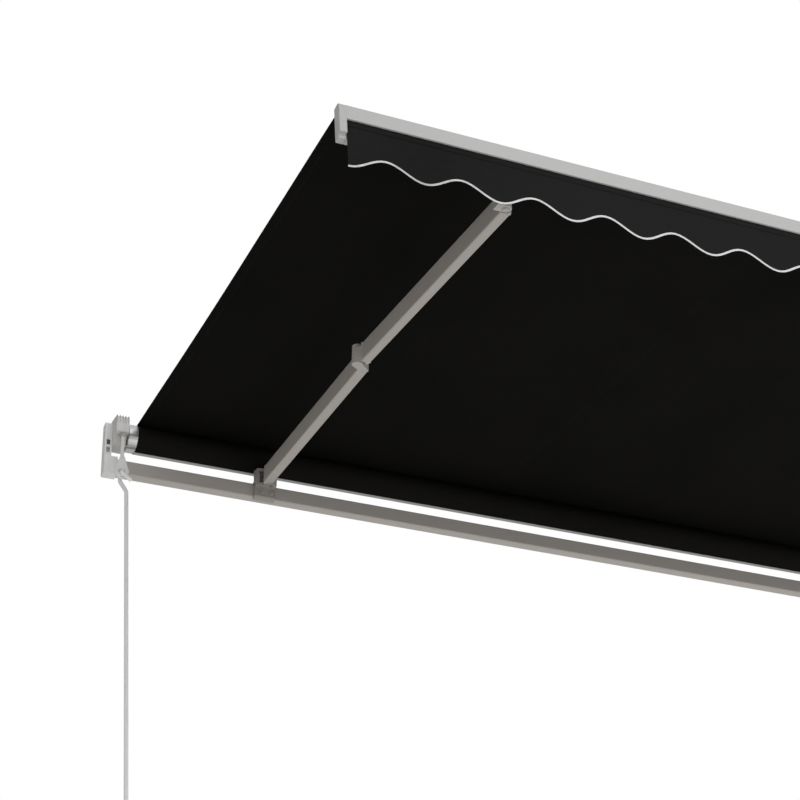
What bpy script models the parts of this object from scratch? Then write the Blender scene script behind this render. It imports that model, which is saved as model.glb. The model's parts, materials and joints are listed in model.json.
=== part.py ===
"""Retractable folding-arm canvas awning, extended, with its frame and crank.

Metres, +Z up, +X along the roller, the front bar towards -Y.  The origin is the
middle of the torsion bar's back face, where a wall bracket clamps it.
"""
import bpy
import bmesh
from math import asin, atan2, cos, degrees, hypot, pi, radians, sin, sqrt, tau
from mathutils import Matrix, Vector

for old in list(bpy.data.objects):
    bpy.data.objects.remove(old, do_unlink=True)

# Driving sizes
GAP = 0.0003                    # between pieces that touch
RUNNING = 0.0005                # between pieces that turn in each other

WAVES = 19                      # scallops along the valance
WAVE_PITCH = 0.148
WAVE_DEPTH = 0.0315             # notch to lobe
WAVE_STEPS = 8                  # points on each scallop
CLOTH = 0.0008
TRIM_W = 0.0045                 # white edging along the scallops
TRIM_T = 0.0016

BAR_H = 0.040                   # torsion bar
BAR_D = 0.025
BAR_WALL = 0.0025
BAR_CORNER = 0.004

ROLL_AHEAD = 0.014              # roller axis ahead of the bar's back face
ROLL_RISE = 0.0919              # and above the bar's centre
ROLL_R = 0.0350                 # over the wound canvas
TUBE_R = 0.0300
TUBE_WALL = 0.0015
CAP_L = 0.0245                  # roller end cap, its visible ring
CAP_R = 0.0345
SPIGOT_L = 0.030
DRIVE_R = 0.0070                # shaft through the worm wheel
IDLE_R = 0.0060
BUSH_WALL = 0.0040

BRACKET_OUT = 0.077             # canvas edge to the end bracket's outer face
BRACKET_W = 0.0170              # tray depth, outer face to the gearbox side
BRACKET_D = 0.026               # front to back
BRACKET_TOP = 0.122             # above the bar's centre
BRACKET_WALL = 0.0040
SOCKET_W = 0.0330               # how far the lower socket runs along the bar
SOCKET_WALL = 0.0040

GEAR_X = 0.0400                 # canvas edge to the worm's axis
GEAR_HALF = 0.0145              # half the gearbox's width
GEAR_R = 0.0400
WHEEL_R = 0.0320
WHEEL_TEETH = 22
TOOTH = 0.0022
WHEEL_W = 0.0120
WORM_R = 0.0085
WORM_L = 0.0240
WORM_PITCH = 0.0080
WORM_ROOM = 0.0015              # free above and below the worm
STEM_R = 0.0045
STEM_L = 0.0740                 # below the worm housing
HOUSING_UP = 0.0260             # worm housing above the roller axis
HOUSING_DOWN = 0.0190
EYE_R = 0.0175
EYE_HOLE = 0.0085
EYE_L = 0.0600
EYE_T = 0.0070

FRONT_RUN = 1.3670              # roller axis to the front bar's back face
FRONT_DROP = 0.1913             # roller axis down to the canvas at the front bar
FRONT_D = 0.022
FRONT_H = 0.080
FACE_H = 0.0350                 # upper face, above the valance slot
VALANCE_IN = 0.0045             # valance slot behind the front face
FACE_STEP = 0.0058              # lower face sits this far back
SLOT_DOWN = 0.018               # canvas slot below the front bar's top
SLOT_W = 0.0018
KEDER_R = 0.0024
FRONT_WALL = 0.0018
FRONT_CAP_T = 0.0155
CAP_LIP = 0.0015
VALANCE_H = 0.1150              # under the upper face, to the lobes

PIVOT_IN = 0.336                # canvas edge to the shoulder and front pivots
ELBOW_OUT = 0.034               # elbow pivot lies this much nearer the edge
SHOULDER_REACH = 0.029          # shoulder pivot ahead of the bar's front face
SHOULDER_RISE = 0.0247          # and above the bar's centre
FRONT_PIVOT_BACK = 0.0030       # front pivot behind the front bar
ARM_H = 0.0445
REAR_W = 0.0240
FORE_W = 0.0210
ARM_WALL = 0.0020
KNUCKLE_H = 0.0290
PIN_R = 0.0045
PIN_HEAD_R = 0.0075
PIN_HEAD_T = 0.0020
EAR_R = 0.0115                  # elbow barrel
SHOULDER_R = 0.0135
FRONT_R = 0.0110
ELBOW_START = 0.022             # elbow pivot to the near ends of the tubes
SHOULDER_START = 0.017          # shoulder pivot to the rear tube
FRONT_START = 0.0150            # front pivot to the front tube
PLUG_L = 0.026
ELBOW_ROOM = 0.0195             # room that the turning half needs
SHOULDER_ROOM = 0.0165
FRONT_ROOM = 0.0140
ELBOW_OFFSET = 0.0215           # elbow pivot to the rear tube's centre line
FORE_OFFSET = 0.0125            # and to the front tube's
FRONT_OFFSET = 0.0060           # front pivot to the front tube's centre line
BASE_IN = 0.0155                # shoulder bracket, each side of its pivot
BASE_OUT = 0.0365
BASE_T = 0.0085
BASE_TOP = 0.054                # above the bar's centre
LIP_T = 0.0035
WEB_T = 0.0075
BOLT_Z = -0.0085                # clamp bolts, from the bar's centre
SPRING_R = 0.0058
SPRING_WIRE = 0.0011
SPRING_TURNS = 12
SPRING_PITCH = 0.014
PULL_R = 0.0025

CRANK_R = 0.0050
CRANK_SHAFT = 1.100
CRANK_THROW = 0.120
CRANK_HANDLE = 0.250
CRANK_BEND = 0.030
CRANK_JOG = 0.012               # hook to the shaft, along X
HOOK_R = 0.0125
CRANK_LEAN = radians(2.3)
GRIP_R = 0.0125
GRIP_L = 0.150
GRIP_BORE = CRANK_R + RUNNING
STOP_T = 0.012
STOP_FLOOR = 0.004

# Places that follow from the sizes
VALANCE_W = WAVES * WAVE_PITCH
FRONT_L = VALANCE_W + 2 * GAP
CANVAS_W = FRONT_L + 2 * (FRONT_CAP_T + GAP)
HALF = CANVAS_W / 2
BAR_FRONT = -BAR_D
BAR_HALF = HALF + BRACKET_OUT - BRACKET_WALL - GAP
ROLL_Y = -ROLL_AHEAD
ROLL_Z = ROLL_RISE
LIFT = ROLL_R + GAP             # underside of the canvas above the roller axis
SLOPE = atan2(FRONT_DROP, FRONT_RUN) + asin(LIFT / hypot(FRONT_RUN, FRONT_DROP))
FRONT_BACK = ROLL_Y - FRONT_RUN
FRONT_FACE = FRONT_BACK - FRONT_D
CANVAS_END = ROLL_Z - FRONT_DROP
FRONT_TOP = CANVAS_END + SLOT_DOWN
SLOT_Z = FRONT_TOP - FACE_H
SHOULDER = Vector((0, BAR_FRONT - SHOULDER_REACH, SHOULDER_RISE))
FRONT_PIVOT_Y = FRONT_BACK + FRONT_PIVOT_BACK
SPAN = (SHOULDER.y - FRONT_PIVOT_Y) / cos(SLOPE)
ARM_R = hypot(SPAN / 2, ELBOW_OUT)
WORM_Y = ROLL_Y - WHEEL_R - WORM_R - RUNNING


# Materials
def material(name, color, rough, metal):
    mat = bpy.data.materials.new(name)
    mat.use_nodes = True
    bsdf = mat.node_tree.nodes["Principled BSDF"]
    bsdf.inputs["Base Color"].default_value = (*color, 1)
    bsdf.inputs["Roughness"].default_value = rough
    bsdf.inputs["Metallic"].default_value = metal
    mat.diffuse_color = (*color, 1)
    return mat


GREY = ((0.42, 0.40, 0.38), 0.45, 0.0)
PALE = ((0.72, 0.72, 0.71), 0.40, 0.0)
CAST = ((0.62, 0.62, 0.61), 0.40, 0.2)
SILVER = ((0.66, 0.66, 0.65), 0.30, 0.8)
STEEL = ((0.50, 0.50, 0.50), 0.30, 1.0)
BRONZE = ((0.50, 0.36, 0.18), 0.35, 1.0)
NYLON = ((0.55, 0.55, 0.54), 0.50, 0.0)
CANVAS = ((0.010, 0.009, 0.008), 0.90, 0.0)
WHITE = ((0.85, 0.85, 0.84), 0.60, 0.0)


# Shape helpers
def place(axis, a, b, c):
    if axis == "X":
        return (c, a, b)
    if axis == "Y":
        return (a, c, b)
    return (a, b, c)


def prism(bm, outline, low, high, axis="Z"):
    """A closed outline run from low to high along one axis."""
    verts = [bm.verts.new(place(axis, a, b, low)) for a, b in outline]
    face = bm.faces.new(verts)
    grown = bmesh.ops.extrude_face_region(bm, geom=[face])["geom"]
    moved = [v for v in grown if isinstance(v, bmesh.types.BMVert)]
    bmesh.ops.translate(bm, verts=moved, vec=place(axis, 0, 0, high - low))


def pipe(bm, outer, inner, low, high, axis="X"):
    """A hollow section: two outlines with as many points, joined at both ends."""
    rings = []
    for outline, level in ((outer, low), (outer, high), (inner, high), (inner, low)):
        rings.append([bm.verts.new(place(axis, a, b, level)) for a, b in outline])
    count = len(outer)
    for first, second in zip(rings, rings[1:] + rings[:1]):
        for i in range(count):
            j = (i + 1) % count
            bm.faces.new((first[i], first[j], second[j], second[i]))


def turned(bm, profile, steps=24, axis="X"):
    """A solid of revolution about an axis through the object's origin."""
    rows = []
    for along, radius in profile:
        row = []
        for i in range(steps):
            angle = tau * i / steps
            spot = place(axis, radius * cos(angle), radius * sin(angle), along)
            row.append(bm.verts.new(spot))
        rows.append(row)
    for first, second in zip(rows, rows[1:]):
        for i in range(steps):
            j = (i + 1) % steps
            bm.faces.new((first[i], first[j], second[j], second[i]))
    bm.faces.new(rows[0])
    bm.faces.new(rows[-1])


def sweep(bm, path, radius, sides=10):
    """A round bar along a path of points, with flat ends."""
    points = [Vector(p) for p in path]
    tangents = []
    for i, point in enumerate(points):
        before = points[max(i - 1, 0)]
        after = points[min(i + 1, len(points) - 1)]
        tangents.append((after - before).normalized())
    side = tangents[0].orthogonal().normalized()
    rows = []
    for point, tangent in zip(points, tangents):
        side = (side - tangent * side.dot(tangent)).normalized()
        other = tangent.cross(side)
        row = []
        for k in range(sides):
            angle = tau * k / sides
            spot = point + radius * (cos(angle) * side + sin(angle) * other)
            row.append(bm.verts.new(spot))
        rows.append(row)
    for first, second in zip(rows, rows[1:]):
        for k in range(sides):
            j = (k + 1) % sides
            bm.faces.new((first[k], first[j], second[j], second[k]))
    bm.faces.new(rows[0])
    bm.faces.new(rows[-1])


def arc(centre, radius, start, end, steps):
    """Points on an arc, angles in degrees."""
    out = []
    for i in range(steps + 1):
        angle = radians(start + (end - start) * i / steps)
        out.append((centre[0] + radius * cos(angle), centre[1] + radius * sin(angle)))
    return out


def rounded(a0, b0, a1, b1, radius, steps=3):
    """A rectangle outline with round corners."""
    corners = ((a1, b1, 0), (a0, b1, 90), (a0, b0, 180), (a1, b0, 270))
    out = []
    for a, b, start in corners:
        ca = a - radius if a == a1 else a + radius
        cb = b - radius if b == b1 else b + radius
        out += arc((ca, cb), radius, start, start + 90, steps)
    return out


def circle(a, b, radius, steps=24):
    return arc((a, b), radius, 0, 360 * (steps - 1) / steps, steps - 1)


def empty(name, spot, turn=None, parent=None):
    obj = bpy.data.objects.new(name, None)
    bpy.context.scene.collection.objects.link(obj)
    obj.parent = parent
    obj.location = spot
    if turn:
        obj.rotation_euler = turn
    return obj


def build(name, bm, look=None, parent=None, spot=(0, 0, 0), sharp=35):
    """Turn a bmesh into an object; without a look it is only a cutter."""
    bmesh.ops.recalc_face_normals(bm, faces=bm.faces[:])
    mesh = bpy.data.meshes.new(name)
    bm.to_mesh(mesh)
    bm.free()
    mesh.shade_smooth()
    mesh.set_sharp_from_angle(angle=radians(sharp))
    obj = bpy.data.objects.new(name, mesh)
    bpy.context.scene.collection.objects.link(obj)
    obj.parent = parent
    obj.location = spot
    if look:
        mesh.materials.append(material(name, *look))
    else:
        obj.hide_render = True
        obj.display_type = "WIRE"
    return obj


def boolean(target, tool, how):
    mod = target.modifiers.new(tool.name, "BOOLEAN")
    mod.operation = how
    mod.solver = "EXACT"
    mod.object = tool


def cut(target, bm, parent=None, spot=(0, 0, 0)):
    number = len(target.modifiers)
    tool = build(f"{target.name}_cut_{number}", bm, None, parent, spot)
    boolean(target, tool, "DIFFERENCE")


def add(target, bm, parent=None, spot=(0, 0, 0)):
    number = len(target.modifiers)
    tool = build(f"{target.name}_add_{number}", bm, None, parent, spot)
    boolean(target, tool, "UNION")


def solid(outline, low, high, axis="Z"):
    bm = bmesh.new()
    prism(bm, outline, low, high, axis)
    return bm


def box(low, high):
    outline = ((low[0], low[1]), (high[0], low[1]), (high[0], high[1]), (low[0], high[1]))
    return solid(outline, low[2], high[2])


# Torsion bar, the square tube that the wall brackets hold
def torsion_bar():
    bm = bmesh.new()
    outer = rounded(-BAR_D, -BAR_H / 2, 0, BAR_H / 2, BAR_CORNER)
    inner = rounded(-BAR_D + BAR_WALL, -BAR_H / 2 + BAR_WALL, -BAR_WALL,
                    BAR_H / 2 - BAR_WALL, BAR_CORNER - BAR_WALL)
    pipe(bm, outer, inner, -BAR_HALF, BAR_HALF)
    build("torsion_bar", bm, GREY)


# Cast end bracket: a tray with an open-backed socket for the bar and a hole for the roller
def end_bracket(name, side, bore):
    outer = HALF + BRACKET_OUT
    front = BAR_FRONT - 0.002
    back = front + BRACKET_D
    low = -BAR_H / 2 - SOCKET_WALL

    def span(x0, x1):
        return sorted((side * x0, side * x1))

    x0, x1 = span(outer, outer - BRACKET_W)
    bm = solid(rounded(front, low, back, BRACKET_TOP, 0.006), x0, x1, "X")
    obj = build(name, bm, CAST)
    x0, x1 = span(outer - BRACKET_WALL, outer - BRACKET_W - 0.01)
    inside = rounded(front + BRACKET_WALL, BAR_H / 2 + 2 * SOCKET_WALL,
                     back - BRACKET_WALL, BRACKET_TOP - BRACKET_WALL, 0.003)
    cut(obj, solid(inside, x0, x1, "X"))
    x0, x1 = span(outer - 0.001, outer - SOCKET_W)
    top = BAR_H / 2 + SOCKET_WALL
    add(obj, box((x0, front - 0.001, low - 0.0005), (x1, back - 0.0005, top)))
    x0, x1 = span(outer - BRACKET_WALL, outer - SOCKET_W - 0.01)
    corner = BAR_CORNER + GAP
    half = BAR_H / 2 + GAP
    hole = arc((-BAR_D + BAR_CORNER, half - corner), corner, 90, 180, 3)
    hole += arc((-BAR_D + BAR_CORNER, corner - half), corner, 180, 270, 3)
    hole += [(0.03, -half), (0.03, half)]
    cut(obj, solid(hole, x0, x1, "X"))
    x0, x1 = span(outer + 0.01, outer - BRACKET_WALL - 0.001)
    cut(obj, solid(circle(ROLL_Y, ROLL_Z, bore), x0, x1, "X"))
    window = BRACKET_W - 2 * BRACKET_WALL
    for rise in (0.034, 0.056):
        x0, x1 = span(outer - BRACKET_WALL - window, outer - BRACKET_WALL)
        cut(obj, box((x0, front - 0.01, rise), (x1, front + BRACKET_WALL + 0.001, rise + 0.016)))
    return obj


def brackets():
    end_bracket("left_end_bracket", -1, DRIVE_R + RUNNING)
    end_bracket("right_end_bracket", 1, IDLE_R + RUNNING + BUSH_WALL + GAP)
    outer = HALF + BRACKET_OUT
    bm = bmesh.new()
    pipe(bm, circle(0, 0, IDLE_R + RUNNING + BUSH_WALL), circle(0, 0, IDLE_R + RUNNING),
         outer - BRACKET_WALL, outer)
    build("idle_bush", bm, NYLON, None, (0, ROLL_Y, ROLL_Z))


# Roller: tube, end caps and the canvas still wound on it
def roller():
    seat = (0, ROLL_Y, ROLL_Z)
    bm = bmesh.new()
    pipe(bm, circle(0, 0, TUBE_R, 32), circle(0, 0, TUBE_R - TUBE_WALL, 32), -HALF, HALF)
    build("roller_tube", bm, SILVER, None, seat)
    bm = bmesh.new()
    pipe(bm, circle(0, 0, ROLL_R, 40), circle(0, 0, TUBE_R + GAP, 40), -HALF, HALF)
    build("fabric_roll", bm, CANVAS, None, seat)
    plug = TUBE_R - TUBE_WALL - GAP
    left_end = BRACKET_OUT - BRACKET_WALL + 0.001
    right_end = BRACKET_OUT - 0.001
    for name, side, shaft, end in (("left_roller_cap", -1, DRIVE_R, left_end),
                                   ("right_roller_cap", 1, IDLE_R, right_end)):
        profile = [(end, shaft), (CAP_L, shaft), (CAP_L, CAP_R - 0.002),
                   (CAP_L - 0.002, CAP_R), (GAP, CAP_R), (GAP, plug), (-SPIGOT_L, plug)]
        bm = bmesh.new()
        turned(bm, [(side * (HALF + x), r) for x, r in profile], 32)
        build(name, bm, SILVER, None, seat)


# Gearbox at the left end: a worm on an upright stem drives the roller's wheel
def gear_outline(shrink=0.0):
    """Outline in Y and Z about the roller axis."""
    front = WORM_Y - ROLL_Y - WORM_R - 0.0040
    back = WORM_Y - ROLL_Y + WORM_R + 0.003
    r = GEAR_R - shrink
    top = HOUSING_UP
    out = arc((0, 0), r, 90, -120, 21)
    out += [(back, -HOUSING_DOWN), (front + shrink, -HOUSING_DOWN + shrink)]
    out += [(front + shrink, top - 0.006), (front + 0.007, top + 0.002)]
    return out


def gearbox():
    x = -(HALF + GEAR_X)
    left = -(HALF + BRACKET_OUT - BRACKET_W) + GAP
    seat = (0, ROLL_Y, ROLL_Z)
    split = x
    case = build("gear_case", solid(gear_outline(), left, split - GAP / 2, "X"), PALE, None, seat)
    cover = build("gear_cover", solid(gear_outline(), split + GAP / 2, x + GEAR_HALF - 0.003, "X"),
                  PALE, None, seat)
    pocket = WHEEL_R + 0.0015
    wide = WHEEL_W / 2 + 0.001
    channel = WORM_R + 0.0012
    for part, x0, x1 in ((case, x - wide, x + 0.01), (cover, x - 0.01, x + wide)):
        cut(part, solid(circle(0, 0, pocket, 28), x0, x1, "X"), None, seat)
        cut(part, solid(circle(0, 0, DRIVE_R + RUNNING, 24), x - 0.05, x + 0.05, "X"), None, seat)
        reach = WORM_L / 2 + WORM_ROOM
        cut(part, solid(circle(x, WORM_Y, channel, 20), ROLL_Z - reach, ROLL_Z + reach))
        cut(part, solid(circle(x, WORM_Y, STEM_R + RUNNING, 16), ROLL_Z - 0.06, ROLL_Z))
    spots = []
    for angle in (25, -45, -115):
        spots.append(((GEAR_R - 0.0032) * cos(radians(angle)),
                      (GEAR_R - 0.0032) * sin(radians(angle))))
    shank = 0.0015
    face = x + GEAR_HALF - 0.003
    for number, (y, z) in enumerate(spots, 1):
        for part in (case, cover):
            bm = solid(circle(y, z, shank + GAP, 12), x - 0.010, x + 0.05, "X")
            cut(part, bm, None, seat)
        bm = bmesh.new()
        turned(bm, [(x - 0.0095, shank), (face + GAP, shank), (face + GAP, 0.0031),
                    (face + 0.0025, 0.0031), (face + 0.0032, 0.0022)], 12)
        build(f"gear_screw_{number}", bm, STEEL, None, (0, ROLL_Y + y, ROLL_Z + z))


def wheel_outline():
    out = []
    for i in range(WHEEL_TEETH):
        for share, radius in ((0.0, WHEEL_R - TOOTH), (0.32, WHEEL_R - TOOTH),
                              (0.45, WHEEL_R), (0.85, WHEEL_R)):
            angle = tau * (i + share) / WHEEL_TEETH
            out.append((radius * cos(angle), radius * sin(angle)))
    return out


def worm_wheel():
    x = -(HALF + GEAR_X)
    seat = (0, ROLL_Y, ROLL_Z)
    wheel = build("worm_wheel", solid(wheel_outline(), x - WHEEL_W / 2, x + WHEEL_W / 2, "X"),
                  BRONZE, None, seat)
    cut(wheel, solid(circle(0, 0, DRIVE_R + GAP, 24), x - 0.03, x + 0.03, "X"), None, seat)


def worm_surface(bm, sides=16, rows=5):
    """One thread wound on the stem, closed at the top and running into the stem below."""
    length = WORM_L
    levels = int(length / WORM_PITCH * rows)
    grid = []
    for k in range(levels + 1):
        z = length * k / levels - length / 2
        row = []
        for i in range(sides):
            phase = (z / WORM_PITCH - i / sides) % 1.0
            lift = max(0.0, 1 - abs(phase - 0.5) * 3.2)
            edge = min(1.0, (length / 2 - abs(z)) / (0.4 * WORM_PITCH))
            radius = WORM_R - TOOTH + TOOTH * lift * max(0.0, edge)
            angle = tau * i / sides
            row.append(bm.verts.new((radius * cos(angle), radius * sin(angle), z)))
        grid.append(row)
    for first, second in zip(grid, grid[1:]):
        for i in range(sides):
            j = (i + 1) % sides
            bm.faces.new((first[i], first[j], second[j], second[i]))
    bm.faces.new(grid[0])
    bm.faces.new(grid[-1])


def eye_top():
    return ROLL_Z - HOUSING_DOWN - STEM_L + 0.008


def worm_eye():
    x = -(HALF + GEAR_X)
    seat = (x, WORM_Y, ROLL_Z)
    bm = bmesh.new()
    worm_surface(bm)
    worm = build("worm_eye", bm, PALE, None, seat)
    end = eye_top() - ROLL_Z
    bm = bmesh.new()
    turned(bm, [(end - 0.006, STEM_R), (-WORM_R, STEM_R)], 16, "Z")
    add(worm, bm, None, seat)
    centre = -EYE_L + EYE_R
    outline = arc((0, centre), EYE_R, 25, -205, 26)
    outline += [(-STEM_R - 0.001, 0), (STEM_R + 0.001, 0)]
    bm = solid(outline, -EYE_T / 2, EYE_T / 2, "Y")
    add(worm, bm, None, (x, WORM_Y, eye_top()))
    bm = solid(circle(0, centre, EYE_HOLE, 24), -EYE_T, EYE_T, "Y")
    cut(worm, bm, None, (x, WORM_Y, eye_top()))


# Crank: one bent rod hooked in the eye, with two turning grips
def crank():
    x = -(HALF + GEAR_X)
    steps = 12
    inner = HOOK_R * cos(pi / steps / 2) - CRANK_R - GAP
    perch = HOOK_R - sqrt(inner ** 2 - (EYE_T / 2) ** 2)
    hang = eye_top() - EYE_L + EYE_R - EYE_HOLE + perch
    hook = empty("crank_frame", (x, WORM_Y, hang), (0, -CRANK_LEAN, 0))
    drop = perch + EYE_R - EYE_HOLE
    path = [(0.020, -HOOK_R - 0.002, -drop - 0.012), (0.011, -HOOK_R - 0.002, -drop - 0.005),
            (0.004, -HOOK_R - 0.001, -drop + 0.003)]
    for i in range(steps + 1):
        angle = pi * i / steps
        path.append((0, -HOOK_R * cos(angle), HOOK_R * (sin(angle) - 1)))
    path += [(0, HOOK_R, -drop - 0.002), (CRANK_JOG * 0.25, HOOK_R * 0.8, -drop - 0.010),
             (CRANK_JOG * 0.75, HOOK_R * 0.2, -drop - 0.028), (CRANK_JOG, 0, -drop - 0.038)]
    foot = -CRANK_SHAFT
    side = CRANK_JOG - CRANK_THROW
    path.append((CRANK_JOG, 0, foot + CRANK_BEND))
    for i in range(1, 6):
        angle = pi / 2 * i / 5
        path.append((CRANK_JOG - CRANK_BEND * (1 - cos(angle)), 0,
                     foot + CRANK_BEND * (1 - sin(angle))))
    for i in range(6):
        angle = pi / 2 * i / 5
        path.append((side + CRANK_BEND * (1 - sin(angle)), 0,
                     foot - CRANK_BEND * (1 - cos(angle))))
    bottom = foot - CRANK_HANDLE
    path.append((side, 0, bottom + STOP_FLOOR + GAP))
    bm = bmesh.new()
    sweep(bm, path, CRANK_R, 10)
    build("crank_rod", bm, PALE, hook)
    grips = (("crank_shaft_grip", CRANK_JOG, foot + CRANK_BEND + 0.02),
             ("crank_handle_grip", side, bottom + STOP_T + GAP))
    for name, at, low in grips:
        bm = bmesh.new()
        outer = circle(0, 0, GRIP_R, 20)
        pipe(bm, outer, circle(0, 0, GRIP_BORE, 20), 0, GRIP_L, "Z")
        build(name, bm, NYLON, hook, (at, 0, low))
    bm = bmesh.new()
    turned(bm, [(0, GRIP_R - 0.003), (0.002, GRIP_R - 0.001), (STOP_T, GRIP_R - 0.001)], 20, "Z")
    stop = build("crank_end_stop", bm, NYLON, hook, (side, 0, bottom))
    cut(stop, solid(circle(0, 0, CRANK_R + GAP, 16), STOP_FLOOR, STOP_T + 0.01), hook,
        (side, 0, bottom))


# Canvas between the roll and the front bar
def canvas():
    seat = empty("canvas_frame", (0, ROLL_Y, ROLL_Z), (SLOPE, 0, 0))
    length = sqrt(FRONT_RUN ** 2 + FRONT_DROP ** 2 - LIFT ** 2)
    end = -length + GAP / cos(SLOPE) + CLOTH * sin(SLOPE) + GAP
    build("canopy", box((-HALF, end, LIFT), (HALF, 0, LIFT + CLOTH)), CANVAS, seat)


# Front bar with slots for the canvas and the valance
def front_profile():
    """Outline in Y and Z from the front top corner; back and down are positive."""
    v_mid = VALANCE_IN
    c_in = FRONT_D - 0.007
    half = SLOT_W / 2
    keder = KEDER_R + GAP
    reach = sqrt(keder ** 2 - half ** 2)
    turn = degrees(asin(half / keder))
    v_deep = FACE_H - 0.006
    out = [(0, 0.002), (0, FACE_H), (v_mid - half, FACE_H)]
    out.append((v_mid - half, v_deep + reach))
    out += arc((v_mid, v_deep), keder, 90 + turn, 450 - turn, 12)[1:-1]
    out.append((v_mid + half, v_deep + reach))
    out += [(v_mid + half, FACE_H), (FACE_STEP, FACE_H), (FACE_STEP, FRONT_H)]
    out += [(FRONT_D, FRONT_H), (FRONT_D, SLOT_DOWN + half), (c_in + reach, SLOT_DOWN + half)]
    out += arc((c_in, SLOT_DOWN), keder, turn, 360 - turn, 12)[1:-1]
    out += [(c_in + reach, SLOT_DOWN - half), (FRONT_D, SLOT_DOWN - half)]
    out += [(FRONT_D, 0.002), (FRONT_D - 0.002, 0), (0.002, 0)]
    return [(FRONT_FACE + back, FRONT_TOP - down) for back, down in out]


def front_bar():
    half = FRONT_L / 2
    bar = build("front_bar", solid(front_profile(), -half, half, "X"), PALE)
    wall = FRONT_WALL
    rooms = ((FACE_STEP + wall, FACE_H + wall, FRONT_D - wall, FRONT_H - wall),
             (wall, wall, FRONT_D - 0.0120, FACE_H - 0.0105),
             (FRONT_D - 0.0105, SLOT_DOWN + 0.0050, FRONT_D - wall, FACE_H))
    for a0, d0, a1, d1 in rooms:
        low = (-half - 0.01, FRONT_FACE + a0, FRONT_TOP - d1)
        high = (half + 0.01, FRONT_FACE + a1, FRONT_TOP - d0)
        cut(bar, box(low, high))
    v_mid = FRONT_FACE + VALANCE_IN
    for name, y, z in (("canopy_keder", FRONT_BACK - 0.007, FRONT_TOP - SLOT_DOWN),
                       ("valance_keder", v_mid, SLOT_Z + 0.006)):
        bm = bmesh.new()
        turned(bm, [(-half, KEDER_R), (half, KEDER_R)], 12)
        build(name, bm, NYLON, None, (0, y, z))
    for name, side in (("left_front_cap", -1), ("right_front_cap", 1)):
        lip = CAP_LIP
        outline = [(-lip, 0.004), (-lip, FRONT_H - 0.009), (FACE_STEP, FRONT_H - 0.009),
                   (FACE_STEP, FRONT_H + lip), (FRONT_D, FRONT_H + lip),
                   (FRONT_D, -lip), (0.004, -lip)]
        shape = [(FRONT_FACE + back, FRONT_TOP - down) for back, down in outline]
        x0 = side * (half + GAP)
        x1 = side * (half + GAP + FRONT_CAP_T)
        bm = solid(shape, min(x0, x1), max(x0, x1), "X")
        bmesh.ops.bevel(bm, geom=bm.edges[:], offset=0.0012, segments=1, affect="EDGES")
        build(name, bm, PALE)


# Scalloped valance with its white edging
def wave(x):
    """Height of the scalloped edge under the upper face, lobes lowest."""
    rise = (1 - cos(tau * (x + VALANCE_W / 2) / WAVE_PITCH)) / 2
    return SLOT_Z - VALANCE_H + WAVE_DEPTH * rise


def valance():
    y = FRONT_FACE + VALANCE_IN
    count = WAVES * WAVE_STEPS
    xs = [VALANCE_W * (i / count - 0.5) for i in range(count + 1)]
    top = SLOT_Z + 0.006 - KEDER_R - GAP
    edge = [(x, wave(x) + TRIM_W + GAP) for x in xs]
    outline = edge + [(xs[-1], top), (xs[0], top)]
    build("valance", solid(outline, y - CLOTH / 2, y + CLOTH / 2, "Y"), CANVAS)
    lower = [(x, wave(x)) for x in xs]
    upper = [(x, wave(x) + TRIM_W) for x in reversed(xs)]
    build("valance_trim", solid(lower + upper, y - TRIM_T / 2, y + TRIM_T / 2, "Y"), WHITE)


# Folding arms
def flip(outline, side):
    """Inward and forward distances to local X and Y on one side of the awning."""
    return [(-side * u, -v) for u, v in outline]


def hand(side):
    return "left" if side < 0 else "right"


def joint_outline(radius, middle, width, end):
    """A barrel about the pivot that runs into a tube's end, seen along the pin."""
    low = middle - width / 2
    high = middle + width / 2
    points = [Vector(p) for p in circle(0, 0, radius, 24)]
    points += [Vector((low, end)), Vector((high, end)), Vector((low, end * 0.8)),
               Vector((high, end * 0.8))]
    return hull([(p.x, p.y) for p in points])


def hull(points):
    """Convex outline around some points, counter-clockwise."""
    points = sorted(set(points))

    def half_hull(sequence):
        out = []
        for p in sequence:
            while len(out) > 1:
                a, b = out[-2], out[-1]
                turn = (b[0] - a[0]) * (p[1] - a[1]) - (b[1] - a[1]) * (p[0] - a[0])
                if turn > 1e-12:
                    break
                out.pop()
            out.append(p)
        return out[:-1]

    return half_hull(points) + half_hull(points[::-1])


def knuckle(name, side, seat, spot, radius, middle, width, end, clear, forked=False):
    """An arm's cast end: forked cheeks, or a tongue that turns between cheeks."""
    outline = flip(joint_outline(radius, middle, width, end), side)
    obj = build(name, solid(outline, -ARM_H / 2, ARM_H / 2), CAST, seat, spot)
    room = circle(0, 0, clear, 28)
    if forked:
        cut(obj, solid(room, -KNUCKLE_H / 2 - RUNNING, KNUCKLE_H / 2 + RUNNING), seat, spot)
    else:
        cut(obj, solid(room, KNUCKLE_H / 2, ARM_H), seat, spot)
        cut(obj, solid(room, -ARM_H, -KNUCKLE_H / 2), seat, spot)
    cut(obj, solid(circle(0, 0, PIN_R + GAP, 16), -ARM_H, ARM_H), seat, spot)
    inner = width / 2 - ARM_WALL - GAP
    tall = ARM_H / 2 - ARM_WALL - GAP
    way = 1 if end > 0 else -1
    near = end - way * 0.002
    far = end + way * PLUG_L
    corners = flip([(middle - inner, near), (middle + inner, far)], side)
    (xa, ya), (xb, yb) = corners
    plug = box((min(xa, xb), min(ya, yb), -tall), (max(xa, xb), max(ya, yb), tall))
    add(obj, plug, seat, spot)
    return obj


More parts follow.
